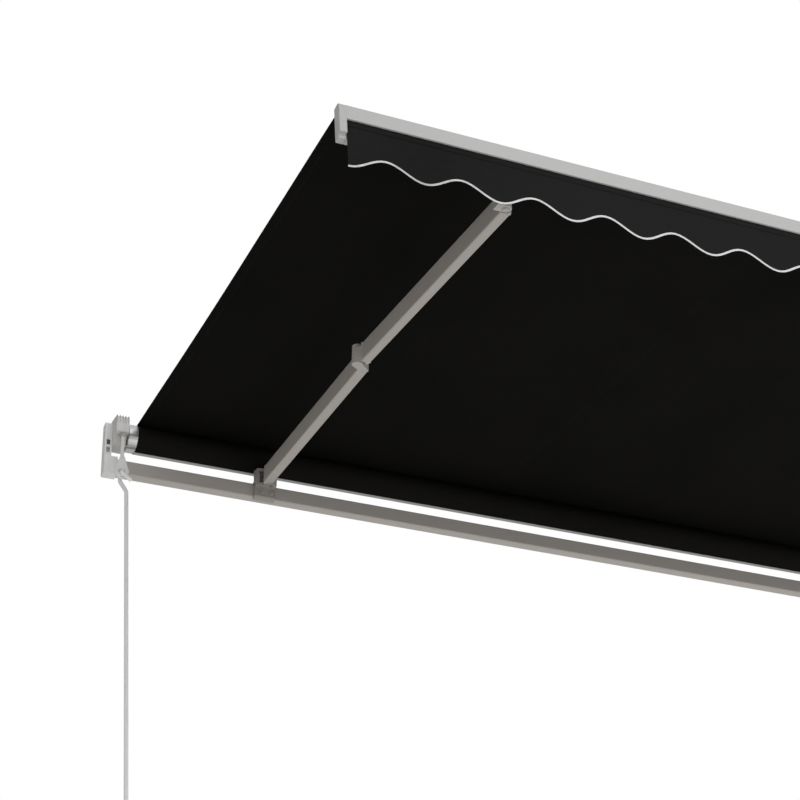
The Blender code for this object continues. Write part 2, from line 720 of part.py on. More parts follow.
def arm_tube(name, side, seat, middle, width, start, end):
    corners = flip([(middle - width / 2, start), (middle + width / 2, end)], side)
    (xa, ya), (xb, yb) = corners
    x0, x1 = sorted((xa, xb))
    y0, y1 = sorted((ya, yb))
    tall = ARM_H / 2
    bm = bmesh.new()
    pipe(bm, rounded(x0, -tall, x1, tall, 0.003),
         rounded(x0 + ARM_WALL, -tall + ARM_WALL, x1 - ARM_WALL, tall - ARM_WALL, GAP),
         y0, y1, "Y")
    build(name, bm, GREY, seat)


def pin(name, seat, spot=(0, 0, 0)):
    half = ARM_H / 2
    head = half + GAP
    bm = bmesh.new()
    turned(bm, [(-half, PIN_R), (head, PIN_R), (head, PIN_HEAD_R),
                (head + PIN_HEAD_T * 0.6, PIN_HEAD_R),
                (head + PIN_HEAD_T, PIN_HEAD_R - 0.0015)], 16, "Z")
    build(name, bm, STEEL, seat, spot)


def pivot_spots(side):
    x = side * (HALF - PIVOT_IN)
    elbow_x = x + side * ELBOW_OUT
    back = SPAN / 2
    shoulder = Vector((x, SHOULDER.y, SHOULDER.z))
    elbow = Vector((elbow_x, SHOULDER.y - back * cos(SLOPE), SHOULDER.z - back * sin(SLOPE)))
    front = Vector((x, SHOULDER.y - SPAN * cos(SLOPE), SHOULDER.z - SPAN * sin(SLOPE)))
    return shoulder, elbow, front


def arm(side):
    """Rear tube, elbow and front tube, with their ends, pins, spring and pull rod."""
    tag = hand(side)
    shoulder, elbow, front = pivot_spots(side)
    rear_middle = -ELBOW_OUT + ELBOW_OFFSET
    rear = empty(f"{tag}_rear_arm_frame", shoulder, (SLOPE, 0, 0))
    at_elbow = (side * ELBOW_OUT, -SPAN / 2, 0)
    knuckle(f"{tag}_shoulder_knuckle", side, rear, (0, 0, 0), SHOULDER_R, rear_middle,
            REAR_W, SHOULDER_START, SHOULDER_ROOM)
    arm_tube(f"{tag}_rear_tube", side, rear, rear_middle, REAR_W, SHOULDER_START + GAP,
             SPAN / 2 - ELBOW_START - GAP)
    knuckle(f"{tag}_elbow_fork", side, rear, at_elbow, EAR_R, ELBOW_OFFSET, REAR_W,
            -ELBOW_START, ELBOW_ROOM, True)
    pin(f"{tag}_elbow_pin", rear, at_elbow)

    shift = FORE_OFFSET - FRONT_OFFSET
    reach = sqrt(ARM_R ** 2 - shift ** 2)
    swing = atan2(ELBOW_OUT, SPAN / 2) - atan2(shift, reach)
    turn = (Matrix.Rotation(SLOPE, 3, "X") @ Matrix.Rotation(-side * swing, 3, "Z")).to_euler()
    fore = empty(f"{tag}_front_arm_frame", elbow, turn)
    at_front = (-side * shift, -reach, 0)
    knuckle(f"{tag}_elbow_tongue", side, fore, (0, 0, 0), EAR_R, FORE_OFFSET, FORE_W,
            ELBOW_START, ELBOW_ROOM)
    arm_tube(f"{tag}_front_tube", side, fore, FORE_OFFSET, FORE_W, ELBOW_START + GAP,
             reach - FRONT_START - GAP)
    knuckle(f"{tag}_front_knuckle", side, fore, at_front, FRONT_R, FRONT_OFFSET, FORE_W,
            -FRONT_START, FRONT_ROOM)

    middle = -side * FORE_OFFSET
    low = -reach + FRONT_START + PLUG_L + SPRING_WIRE + GAP
    length = SPRING_TURNS * SPRING_PITCH
    steps = SPRING_TURNS * 8
    path = []
    for i in range(steps + 1):
        angle = tau * i / 8
        path.append((middle + SPRING_R * cos(angle), low + length * i / steps,
                     SPRING_R * sin(angle)))
    bm = bmesh.new()
    sweep(bm, path, SPRING_WIRE, 4)
    build(f"{tag}_arm_spring", bm, STEEL, fore)
    bm = bmesh.new()
    start = low + length + SPRING_WIRE + GAP
    end = -ELBOW_START - PLUG_L - GAP
    turned(bm, [(start, SPRING_R + SPRING_WIRE), (start + 0.004, SPRING_R + SPRING_WIRE),
                (start + 0.004, PULL_R), (end, PULL_R)], 12, "Y")
    build(f"{tag}_pull_rod", bm, STEEL, fore, (middle, 0, 0))


def shoulder_bracket(side):
    """Saddle on the torsion bar with two cheeks and an outer web."""
    tag = hand(side)
    shoulder, elbow, front = pivot_spots(side)
    x = shoulder.x
    x0, x1 = sorted((x - side * BASE_IN, x + side * BASE_OUT))
    face = BAR_FRONT - GAP
    low = -BAR_H / 2 - GAP - LIP_T
    top = BAR_H / 2 + GAP
    saddle = [(face - BASE_T, low + 0.004), (face - BASE_T + 0.004, low), (-0.018, low),
              (-0.018, low + LIP_T), (face, low + LIP_T), (face, top), (-0.002, top),
              (-0.002, top + LIP_T), (face, top + LIP_T), (face, BASE_TOP),
              (face - BASE_T, BASE_TOP)]
    bracket = build(f"{tag}_shoulder_bracket", solid(saddle, x0, x1, "X"), CAST)
    seat = empty(f"{tag}_shoulder_frame", shoulder, (SLOPE, 0, 0))
    back = (SHOULDER_REACH - GAP - BASE_T / 2) / cos(SLOPE)
    ears = [(-BASE_OUT, -back), (BASE_IN, -back), (SHOULDER_R, -0.012)]
    ears += arc((0, 0), SHOULDER_R, 0, 180, 12) + [(-BASE_OUT, -0.006)]
    add(bracket, solid(flip(ears, side), -ARM_H / 2, ARM_H / 2), seat)
    room = KNUCKLE_H / 2 + RUNNING
    open_side = -back + BASE_T / 2 + 0.004
    mouth = flip([(-BASE_OUT + WEB_T, open_side), (0.05, open_side), (0.05, 0.05),
                  (-BASE_OUT + WEB_T, 0.05)], side)
    cut(bracket, solid(mouth, -room, room), seat)
    cut(bracket, solid(circle(0, 0, PIN_R + GAP, 16), -ARM_H, ARM_H), seat)
    pin(f"{tag}_shoulder_pin", seat)
    bolt_z = BOLT_Z
    for number, inward in enumerate((-BASE_OUT + 0.0190, 0.0065), 1):
        spot = (x - side * inward, face - BASE_T, bolt_z)
        bm = solid(circle(0, 0, 0.0030 + GAP, 12), -0.03, 0.03, "Y")
        cut(bracket, bm, None, spot)
        bm = bmesh.new()
        turned(bm, [(-GAP - 0.0035, 0.0040), (-GAP - 0.0025, 0.0052), (-GAP, 0.0052),
                    (-GAP, 0.0030), (BASE_T, 0.0030)], 12, "Y")
        build(f"{tag}_bracket_bolt_{number}", bm, STEEL, None, spot)


def front_bracket(side):
    """Clevis under the front bar, closed on the outer side."""
    tag = hand(side)
    shoulder, elbow, front = pivot_spots(side)
    seat = empty(f"{tag}_front_frame", front, (SLOPE, 0, 0))
    reach = FRONT_R
    outer = 0.021
    web_in = outer - 0.005
    under = FRONT_TOP - FRONT_H - GAP
    x0, x1 = sorted((front.x + side * (outer - 0.001), front.x - side * (reach - 0.008)))
    low = front.z + KNUCKLE_H / 2 + 0.002
    y0, y1 = FRONT_FACE + FACE_STEP + 0.001, front.y + reach - 0.005
    ears = [(-outer, -reach), (0, -reach)] + arc((0, 0), reach, -90, 90, 12)[1:]
    ears.append((-outer, reach))
    block = build(f"{tag}_front_bracket", solid(flip(ears, side), -ARM_H / 2, ARM_H / 2),
                  CAST, seat)
    add(block, box((x0, y0, low), (x1, y1, under)))
    room = KNUCKLE_H / 2 + RUNNING
    mouth = flip([(-web_in, -0.05), (0.05, -0.05), (0.05, 0.05), (-web_in, 0.05)], side)
    cut(block, solid(mouth, -room, room), seat)
    cut(block, solid(circle(0, 0, PIN_R + GAP, 16), -ARM_H, ARM_H / 2 + 0.003), seat)
    bm = bmesh.new()
    turned(bm, [(-ARM_H / 2 - GAP - PIN_HEAD_T, PIN_HEAD_R - 0.001),
                (-ARM_H / 2 - GAP, PIN_HEAD_R - 0.001), (-ARM_H / 2 - GAP, PIN_R),
                (ARM_H / 2, PIN_R)], 16, "Z")
    build(f"{tag}_front_pin", bm, STEEL, seat)


torsion_bar()
brackets()
roller()
gearbox()
worm_wheel()
worm_eye()
crank()
canvas()
front_bar()
valance()
for hand_side in (-1, 1):
    shoulder_bracket(hand_side)
    arm(hand_side)
    front_bracket(hand_side)
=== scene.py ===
"""Looks of the folding-arm awning: canvas, valance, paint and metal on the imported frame."""
import json
from math import cos, pi, radians, sin, tau

import bmesh
import bpy
from mathutils import Matrix, Vector, noise

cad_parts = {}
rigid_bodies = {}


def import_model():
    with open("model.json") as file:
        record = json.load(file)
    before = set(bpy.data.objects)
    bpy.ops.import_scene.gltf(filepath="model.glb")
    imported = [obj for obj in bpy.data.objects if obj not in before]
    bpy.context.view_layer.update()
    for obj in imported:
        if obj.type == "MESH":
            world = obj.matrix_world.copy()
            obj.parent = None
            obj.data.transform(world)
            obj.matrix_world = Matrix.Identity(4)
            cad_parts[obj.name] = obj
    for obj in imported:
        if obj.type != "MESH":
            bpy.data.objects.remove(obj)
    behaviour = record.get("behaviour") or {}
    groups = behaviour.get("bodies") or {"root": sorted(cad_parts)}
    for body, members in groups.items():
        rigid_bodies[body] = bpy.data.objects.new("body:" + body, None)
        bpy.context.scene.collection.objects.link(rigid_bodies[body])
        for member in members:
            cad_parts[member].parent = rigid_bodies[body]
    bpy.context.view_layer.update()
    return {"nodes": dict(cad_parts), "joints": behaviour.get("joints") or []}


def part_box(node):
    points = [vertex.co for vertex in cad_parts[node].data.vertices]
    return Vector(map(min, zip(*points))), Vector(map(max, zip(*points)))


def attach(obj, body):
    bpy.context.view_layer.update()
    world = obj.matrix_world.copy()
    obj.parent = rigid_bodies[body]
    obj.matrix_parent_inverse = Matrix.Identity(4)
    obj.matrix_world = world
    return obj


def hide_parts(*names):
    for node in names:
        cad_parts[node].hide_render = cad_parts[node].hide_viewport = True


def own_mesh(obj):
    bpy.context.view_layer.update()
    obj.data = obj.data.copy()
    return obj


for old in list(bpy.data.objects):
    bpy.data.objects.remove(old, do_unlink=True)
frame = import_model()
nodes = frame["nodes"]


# Places taken from the frame
def axis_of(joint):
    found = [j for j in frame["joints"] if j["name"] == joint]
    return Vector(found[0]["axis"])


def middle(node):
    low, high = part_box(node)
    return (low + high) / 2


UP = axis_of("left_shoulder").normalized()      # square to the canopy
DOWN_SLOPE = Vector((0, -UP.z, UP.y))           # from the roller to the front bar
roll_low, roll_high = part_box("fabric_roll")
ROLLER = (roll_low + roll_high) / 2
ROLL_R = (roll_high.z - roll_low.z) / 2
WIDTH = roll_high.x - roll_low.x
CANOPY_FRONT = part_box("canopy")[0].y
valance_low, valance_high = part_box("valance")
trim_low, trim_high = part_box("valance_trim")
BAR_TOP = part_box("front_bar")[1].z

# Sizes
CLOTH = 0.0006
SAG = 0.006                    # of the canopy at mid-span
ROLL_LIFT = 0.0014             # lets the hems clear the roll
SLACK = 0.0022                 # slow unevenness of the canopy
PULL = 0.0006                  # fine creases next to the roller
HEM = 0.022
HEM_GAP = 0.0002
SEAM_OUTER = 0.336             # two rows of stitches per seam, in halves of the width
SEAM_INNER = 0.330
STITCH = 0.0045                # length of one stitch
STITCH_W = 0.0009
STITCH_H = 0.0005
STITCH_PROUD = 0.00005         # hem stitches stand this far off the hem
LAYER = 0.0008                 # pitch of the wound canvas
TURNS = 6
STRIP_FROM = -88                # thin grey strip on the roller's underside, in degrees
STRIP_TO = -28
STRIP_T = 0.0006
WAVES = 19
WAVE_STEPS = 16
WAVE_DEPTH = 0.0315
TRIM_W = 0.0045
TRIM_T = 0.0018
RIPPLE = 0.0016                # of the valance
SEAM_DOWN = 0.0495             # valance seam under the front bar's top
SEAM_EDGE = 0.0018             # its stitches above the hem's edge
FINS = 5                       # cooling ribs on the gearbox
FIN_T = 0.0016
FIN_IN = 0.001                 # first and last rib inside the gearbox's sides
NOSE_UP = 0.020                # rib corners above the roller's axis
BROW_UP = 0.028
COLLAR_DOWN = 0.0191           # collar of the worm's stem under that axis
SHARP_EDGE = 40                # degrees


# Materials
def node_material(name, rough, metal=0.0, specular=0.5):
    mat = bpy.data.materials.new(name)
    mat.use_nodes = True
    bsdf = mat.node_tree.nodes["Principled BSDF"]
    bsdf.inputs["Roughness"].default_value = rough
    bsdf.inputs["Metallic"].default_value = metal
    bsdf.inputs["Specular IOR Level"].default_value = specular
    return mat, mat.node_tree.nodes, mat.node_tree.links, bsdf


def noise_node(tree_nodes, links, coords, scale, detail=3.0):
    tex = tree_nodes.new("ShaderNodeTexNoise")
    tex.inputs["Scale"].default_value = scale
    tex.inputs["Detail"].default_value = detail
    links.new(coords, tex.inputs["Vector"])
    return tex.outputs["Fac"]


def ramp(tree_nodes, links, fac, low, high, dark, light):
    out = tree_nodes.new("ShaderNodeValToRGB")
    out.color_ramp.elements[0].position = low
    out.color_ramp.elements[1].position = high
    out.color_ramp.elements[0].color = (*dark, 1)
    out.color_ramp.elements[1].color = (*light, 1)
    links.new(fac, out.inputs["Fac"])
    return out.outputs["Color"]


def spread(tree_nodes, links, fac, low, high):
    out = tree_nodes.new("ShaderNodeMapRange")
    out.inputs["To Min"].default_value = low
    out.inputs["To Max"].default_value = high
    links.new(fac, out.inputs["Value"])
    return out.outputs["Result"]


def bump(tree_nodes, links, bsdf, height, distance, strength=1.0, under=None):
    out = tree_nodes.new("ShaderNodeBump")
    out.inputs["Strength"].default_value = strength
    out.inputs["Distance"].default_value = distance
    links.new(height, out.inputs["Height"])
    if under:
        links.new(under, out.inputs["Normal"])
    links.new(out.outputs["Normal"], bsdf.inputs["Normal"])
    return out.outputs["Normal"]


def shade(color, factor):
    return tuple(min(1.0, c * factor) for c in color)


def paint(name, color, rough=0.42, variation=0.06, grain=900, wear=1.12):
    """Sprayed paint: fine texture, faint cloudiness and lighter rubbed edges."""
    mat, tree, links, bsdf = node_material(name, rough)
    coords = tree.new("ShaderNodeTexCoord").outputs["Object"]
    cloud = noise_node(tree, links, coords, 14, 4)
    base = ramp(tree, links, cloud, 0.3, 0.7, shade(color, 1 - variation), shade(color, 1 + variation))
    geometry = tree.new("ShaderNodeNewGeometry")
    edge = tree.new("ShaderNodeMapRange")
    edge.inputs["From Min"].default_value = 0.53
    edge.inputs["From Max"].default_value = 0.62
    links.new(geometry.outputs["Pointiness"], edge.inputs["Value"])
    worn = tree.new("ShaderNodeMix")
    worn.data_type = "RGBA"
    worn.inputs["B"].default_value = (*shade(color, wear), 1)
    links.new(edge.outputs["Result"], worn.inputs["Factor"])
    links.new(base, worn.inputs["A"])
    links.new(worn.outputs["Result"], bsdf.inputs["Base Color"])
    fine = noise_node(tree, links, coords, grain, 2)
    links.new(spread(tree, links, cloud, rough - 0.06, rough + 0.06), bsdf.inputs["Roughness"])
    bump(tree, links, bsdf, fine, 0.00006)
    return mat


def metal(name, color, rough, scratch=260, stretch=(1, 30, 30)):
    """Drawn or turned metal with fine lines along one axis."""
    mat, tree, links, bsdf = node_material(name, rough, 1.0)
    coords = tree.new("ShaderNodeTexCoord").outputs["Object"]
    mapping = tree.new("ShaderNodeMapping")
    mapping.inputs["Scale"].default_value = stretch
    links.new(coords, mapping.inputs["Vector"])
    lines = noise_node(tree, links, mapping.outputs["Vector"], scratch / 10, 3)
    base = ramp(tree, links, lines, 0.3, 0.7, shade(color, 0.93), shade(color, 1.05))
    links.new(base, bsdf.inputs["Base Color"])
    links.new(spread(tree, links, lines, rough - 0.07, rough + 0.09), bsdf.inputs["Roughness"])
    bump(tree, links, bsdf, lines, 0.00003)
    return mat


def plastic(name, color, rough=0.5):
    mat, tree, links, bsdf = node_material(name, rough)
    coords = tree.new("ShaderNodeTexCoord").outputs["Object"]
    cloud = noise_node(tree, links, coords, 30, 3)
    links.new(ramp(tree, links, cloud, 0.3, 0.7, shade(color, 0.95), shade(color, 1.04)),
              bsdf.inputs["Base Color"])
    fine = noise_node(tree, links, coords, 1600, 2)
    links.new(spread(tree, links, cloud, rough - 0.05, rough + 0.05), bsdf.inputs["Roughness"])
    bump(tree, links, bsdf, fine, 0.00005)
    return mat


def bands(tree, links, coords, axis, pitch):
    wave = tree.new("ShaderNodeTexWave")
    wave.bands_direction = axis
    wave.inputs["Scale"].default_value = 0.314 / pitch
    links.new(coords, wave.inputs["Vector"])
    return wave.outputs["Fac"]


def canvas(name, color, across="Y", pitch=0.0011, specular=0.04):
    """Plain-woven acrylic: crossed threads, slubs and a slow change of shade."""
    mat, tree, links, bsdf = node_material(name, 0.9, 0.0, specular)
    coords = tree.new("ShaderNodeTexCoord").outputs["Object"]
    warp = bands(tree, links, coords, "X", pitch)
    weft = bands(tree, links, coords, across, pitch)
    weave = tree.new("ShaderNodeMath")
    weave.operation = "MULTIPLY"
    links.new(warp, weave.inputs[0])
    links.new(weft, weave.inputs[1])
    mapping = tree.new("ShaderNodeMapping")
    mapping.inputs["Scale"].default_value = (12, 160, 160)
    links.new(coords, mapping.inputs["Vector"])
    slub = noise_node(tree, links, mapping.outputs["Vector"], 4, 3)
    slow = noise_node(tree, links, coords, 3.5, 3)
    both = tree.new("ShaderNodeMath")
    both.operation = "ADD"
    links.new(slub, both.inputs[0])
    links.new(slow, both.inputs[1])
    base = ramp(tree, links, both.outputs[0], 0.75, 1.25, shade(color, 0.82), shade(color, 1.18))
    thread = tree.new("ShaderNodeMix")
    thread.data_type = "RGBA"
    thread.blend_type = "MULTIPLY"
    thread.inputs["Factor"].default_value = 0.35
    links.new(base, thread.inputs["A"])
    links.new(ramp(tree, links, weave.outputs[0], 0.0, 1.0, (0.6, 0.6, 0.6), (1.3, 1.3, 1.3)),
              thread.inputs["B"])
    links.new(thread.outputs["Result"], bsdf.inputs["Base Color"])
    links.new(spread(tree, links, slub, 0.82, 0.95), bsdf.inputs["Roughness"])
    normal = bump(tree, links, bsdf, slub, 0.0002, 0.4)
    bump(tree, links, bsdf, weave.outputs[0], 0.00025, 0.6, normal)
    return mat


GREY = (0.415, 0.385, 0.355)
PALE = (0.52, 0.516, 0.509)
BLACK = (0.0057, 0.0054, 0.0048)

# the torsion bar's paint is the arms' grey made 1.14 times lighter: painted light on the bar
bar_paint = paint("bar_paint", shade(GREY, 1.14))
arm_paint = paint("arm_paint", GREY)
cast_paint = paint("cast_paint", (0.57, 0.56, 0.545), 0.48, 0.08, 700)
joint_paint = paint("joint_paint", (0.44, 0.415, 0.39), 0.48, 0.08, 700)
# the shoulder brackets and their bolts get a darker copy of the bar's grey: painted shade on them
shaded_saddle_paint = paint("shaded_saddle_paint", (0.34, 0.32, 0.298), 0.5, 0.08, 700)
rod_paint = paint("rod_paint", (0.93, 0.925, 0.915), 0.36, 0.03, 1200, 1.05)
strip_paint = paint("strip_paint", (0.40, 0.395, 0.385), 0.45)
end_paint = paint("end_paint", (0.80, 0.795, 0.785), 0.4, 0.05, 700)
pale_paint = paint("pale_paint", PALE, 0.38, 0.03, 1200, 1.05)
aluminium = metal("aluminium", (0.67, 0.67, 0.66), 0.32)
steel = metal("steel", (0.56, 0.56, 0.55), 0.3, 500, (30, 30, 4))
bronze = metal("bronze", (0.56, 0.40, 0.20), 0.32)
nylon = plastic("nylon", (0.56, 0.56, 0.55))
under_canvas = canvas("canopy_canvas", BLACK, "Y")
# the wound canvas is the canopy's black cloth made 1.7 times lighter: painted light on the roll
lit_roll_canvas = canvas("lit_roll_canvas", shade(BLACK, 1.7), "Z")
# the valance is the same black cloth made about 2.4 times lighter: painted light on its front
lit_valance_canvas = canvas("lit_valance_canvas", (0.0135, 0.0135, 0.0137), "Z", 0.0011, 0.12)
edging = canvas("edging", (0.86, 0.86, 0.85), "Z", 0.0007, 0.3)
thread_mat = plastic("thread", (0.011, 0.011, 0.010), 0.85)


# Mesh helpers
def finish_mesh(name, bm, mat, body, smooth=True):
    bmesh.ops.recalc_face_normals(bm, faces=bm.faces[:])
    mesh = bpy.data.meshes.new(name)
    bm.to_mesh(mesh)
    bm.free()
    if smooth:
        mesh.shade_smooth()
        mesh.set_sharp_from_angle(angle=radians(SHARP_EDGE))
    mesh.materials.append(mat)
    obj = bpy.data.objects.new(name, mesh)
    bpy.context.scene.collection.objects.link(obj)
    if body:
        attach(obj, body)
    return obj


def sheet_mesh(rows, thick):
    """Two-sided cloth from rows of points, given thickness along its own normals."""
    bm = bmesh.new()
    count = len(rows[0])
    grid = []
    for row in rows:
        grid.append([Vector(p) for p in row])
    layers = []
    for side in (0.5, -0.5):
        layer = []
        for i, row in enumerate(grid):
            out = []
            for j, point in enumerate(row):
                a = grid[min(i + 1, len(grid) - 1)][j] - grid[max(i - 1, 0)][j]
                b = row[min(j + 1, count - 1)] - row[max(j - 1, 0)]
                normal = a.cross(b).normalized()
                out.append(bm.verts.new(point + normal * thick * side))
            layer.append(out)
        layers.append(layer)
    top, bottom = layers
    last = len(rows) - 1
    for i in range(last):
        for j in range(count - 1):
            bm.faces.new((top[i][j], top[i][j + 1], top[i + 1][j + 1], top[i + 1][j]))
            bm.faces.new((bottom[i][j], bottom[i + 1][j], bottom[i + 1][j + 1], bottom[i][j + 1]))
    for j in range(count - 1):
        bm.faces.new((top[0][j], bottom[0][j], bottom[0][j + 1], top[0][j + 1]))
        bm.faces.new((top[last][j], top[last][j + 1], bottom[last][j + 1], bottom[last][j]))
    for i in range(last):
        bm.faces.new((top[i][0], top[i + 1][0], bottom[i + 1][0], bottom[i][0]))
        end = count - 1
        bm.faces.new((top[i][end], bottom[i][end], bottom[i + 1][end], top[i + 1][end]))
    return bm


def add_stitch(bm, start, end, normal):
    """One raised stitch, a low diamond-shaped bead."""
    along = (end - start).normalized()
    side = along.cross(normal).normalized()
    centre = (start + end) / 2
    base = [start, centre + side * STITCH_W / 2, end, centre - side * STITCH_W / 2]
    verts = [bm.verts.new(p) for p in base]
    top = bm.verts.new(centre + normal * STITCH_H)
    foot = bm.verts.new(centre - normal * STITCH_H * 0.5)
    for a, b in zip(verts, verts[1:] + verts[:1]):
        bm.faces.new((a, b, top))
        bm.faces.new((b, a, foot))


# Canopy, a stretched sheet with hems, seams and a little sag
def canopy_point(across, along):
    """across from -1 to 1, along from 0 at the roller to 1 at the front bar."""
    start = ROLLER + UP * (ROLL_R + CLOTH)
    reach = (CANOPY_FRONT - start.y) / DOWN_SLOPE.y
    spot = start + DOWN_SLOPE * reach * along
    spot.x = across * WIDTH / 2
    sag = SAG * 16 * (along * (1 - along)) ** 2
    slack = noise.noise(Vector((across * 3.1, along * 2.3, 0.4))) * SLACK
    pull = sin(across * 21) * PULL * (1 - along)
    spot -= UP * (sag + (slack + pull) * min(1, 40 * (along * (1 - along)) ** 2))
    return spot + UP * ROLL_LIFT * (1 - along) ** 2


def build_canopy():
    columns, rows = 96, 36
    points = []
    for i in range(rows + 1):
        row = [canopy_point(2 * j / columns - 1, i / rows) for j in range(columns + 1)]
        points.append(row)
    canopy = finish_mesh("canopy_cloth", sheet_mesh(points, CLOTH), under_canvas, "frame")
    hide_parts("canopy")
    pieces = [canopy]
    share = 2 * HEM / WIDTH
    for tag, side in (("left", -1), ("right", 1)):
        hem = []
        for i in range(rows + 1):
            row = []
            for j in range(4):
                spot = canopy_point(side * (1 - share * j / 3), i / rows)
                row.append(spot - UP * (CLOTH + HEM_GAP))
            hem.append(row)
        pieces.append(finish_mesh(f"{tag}_canopy_hem", sheet_mesh(hem, CLOTH), under_canvas, "frame"))
    hem_line = 1 - share * 0.85
    seams = [-hem_line, hem_line, -SEAM_OUTER, -SEAM_INNER, SEAM_INNER, SEAM_OUTER]
    bm = bmesh.new()
    length = (canopy_point(0, 1) - canopy_point(0, 0)).length
    count = int(length / (STITCH * 1.5))
    for across in seams:
        drop = CLOTH * 0.6
        if abs(across) == hem_line:
            drop = 1.5 * CLOTH + HEM_GAP + STITCH_PROUD
        for i in range(count):
            a = canopy_point(across, (i + 0.15) / count) - UP * drop
            b = canopy_point(across, (i + 0.80) / count) - UP * drop
            add_stitch(bm, a, b, -UP)
    pieces.append(finish_mesh("canopy_stitches", bm, thread_mat, "frame", False))
    reach = (canopy_point(0, 1) - canopy_point(0, 0)).length
    for piece in pieces:
        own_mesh(piece)


# Canvas wound on the roller, in one spiral, and a thin grey strip on the roller's underside
def build_roll():
    inner = ROLL_R - LAYER * TURNS + LAYER / 2
    steps = 40
    spiral = []
    for i in range(TURNS * steps + 1):
        angle = pi / 2 + tau * i / steps
        radius = inner + LAYER * i / steps - LAYER / 2
        spiral.append((radius * cos(angle), radius * sin(angle)))
    points = []
    for y, z in spiral:
        row = []
        for j in range(9):
            x = -WIDTH / 2 + WIDTH * j / 8
            row.append(Vector((x, ROLLER.y + y, ROLLER.z + z)))
        points.append(row)
    roll = finish_mesh("wound_canvas", sheet_mesh(points, LAYER * 0.8), lit_roll_canvas, "roller")
    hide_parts("fabric_roll")
    rows = []
    radius = ROLL_R + STRIP_T
    for i in range(9):
        angle = radians(STRIP_FROM + (STRIP_TO - STRIP_FROM) * i / 8)
        row = []
        for x in (-WIDTH / 2, WIDTH / 2):
            row.append(Vector((x, ROLLER.y + radius * cos(angle), ROLLER.z + radius * sin(angle))))
        rows.append(row)
    finish_mesh("roller_grey_strip", sheet_mesh(rows, STRIP_T), strip_paint, "roller")


# Valance with its binding, seam and stitches
def edge_height(x):
    rise = (1 - cos(tau * (x - trim_low.x) * WAVES / (trim_high.x - trim_low.x))) / 2
    return trim_low.z + WAVE_DEPTH * rise


def valance_point(x, z):
    """A point on the hanging cloth, with a slow ripple that grows downwards."""
    y = (valance_low.y + valance_high.y) / 2
    share = (valance_high.z - z) / (valance_high.z - trim_low.z)
    ripple = noise.noise(Vector((x * 3.7, 0.3, 0.7))) + 0.5 * noise.noise(Vector((x * 11, 1.3, 0)))
    return Vector((x, y + RIPPLE * share * ripple, z))


def build_valance():
    count = WAVES * WAVE_STEPS
    xs = []
    for i in range(count + 1):
        xs.append(trim_low.x + (trim_high.x - trim_low.x) * i / count)
    rows = []
    levels = (0, 0.05, 0.12, 0.25, 0.4, 0.55, 0.7, 0.85, 1)
    for level in levels:
        row = []
        for x in xs:
            low = edge_height(x) + TRIM_W * 0.5
            row.append(valance_point(x, valance_high.z + (low - valance_high.z) * level))
        rows.append(row)
    cloth = finish_mesh("valance_cloth", sheet_mesh(rows, CLOTH), lit_valance_canvas, "front_bar")
    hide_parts("valance")
    binding = finish_mesh("valance_binding", binding_mesh(xs), edging, "front_bar")
    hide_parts("valance_trim")
    band_low = BAR_TOP - SEAM_DOWN
    rows = []
    for z in (valance_high.z, (valance_high.z + band_low) / 2, band_low):
        rows.append([valance_point(x, z) - Vector((0, CLOTH * 1.2, 0)) for x in xs[::4]])
    band = finish_mesh("valance_top_hem", sheet_mesh(rows, CLOTH), lit_valance_canvas, "front_bar")
    bm = bmesh.new()
    toward = Vector((0, -1, 0))
    step = STITCH * 1.4
    for i in range(int((xs[-1] - xs[0]) / step)):
        x = xs[0] + step * (i + 0.2)
        drop = Vector((0, CLOTH * 1.7, 0))
        a = valance_point(x, band_low + SEAM_EDGE) - drop
        b = valance_point(x + STITCH, band_low + SEAM_EDGE) - drop
        add_stitch(bm, a, b, toward)
    stitches = finish_mesh("valance_stitches", bm, thread_mat, "front_bar", False)


def binding_mesh(xs):
    """A folded tape round the scalloped edge: a rounded band with a slight bulge."""
    bm = bmesh.new()
    profile = []
    for k in range(10):
        angle = tau * k / 10
        profile.append((0.5 * TRIM_W * cos(angle), 0.5 * TRIM_T * sin(angle)))
    rows = []
    for x in xs:
        z = edge_height(x) + TRIM_W / 2
        slope = (edge_height(x + 0.001) - edge_height(x - 0.001)) / 0.002
        up = Vector((-slope, 0, 1)).normalized()
        centre = valance_point(x, z)
        row = []
        for up_part, out_part in profile:
            row.append(bm.verts.new(centre + up * up_part + Vector((0, out_part, 0))))
        rows.append(row)
    for first, second in zip(rows, rows[1:]):
        for k in range(10):
            j = (k + 1) % 10
            bm.faces.new((first[k], first[j], second[j], second[k]))
    bm.faces.new(rows[0])
    bm.faces.new(rows[-1])
    return bm


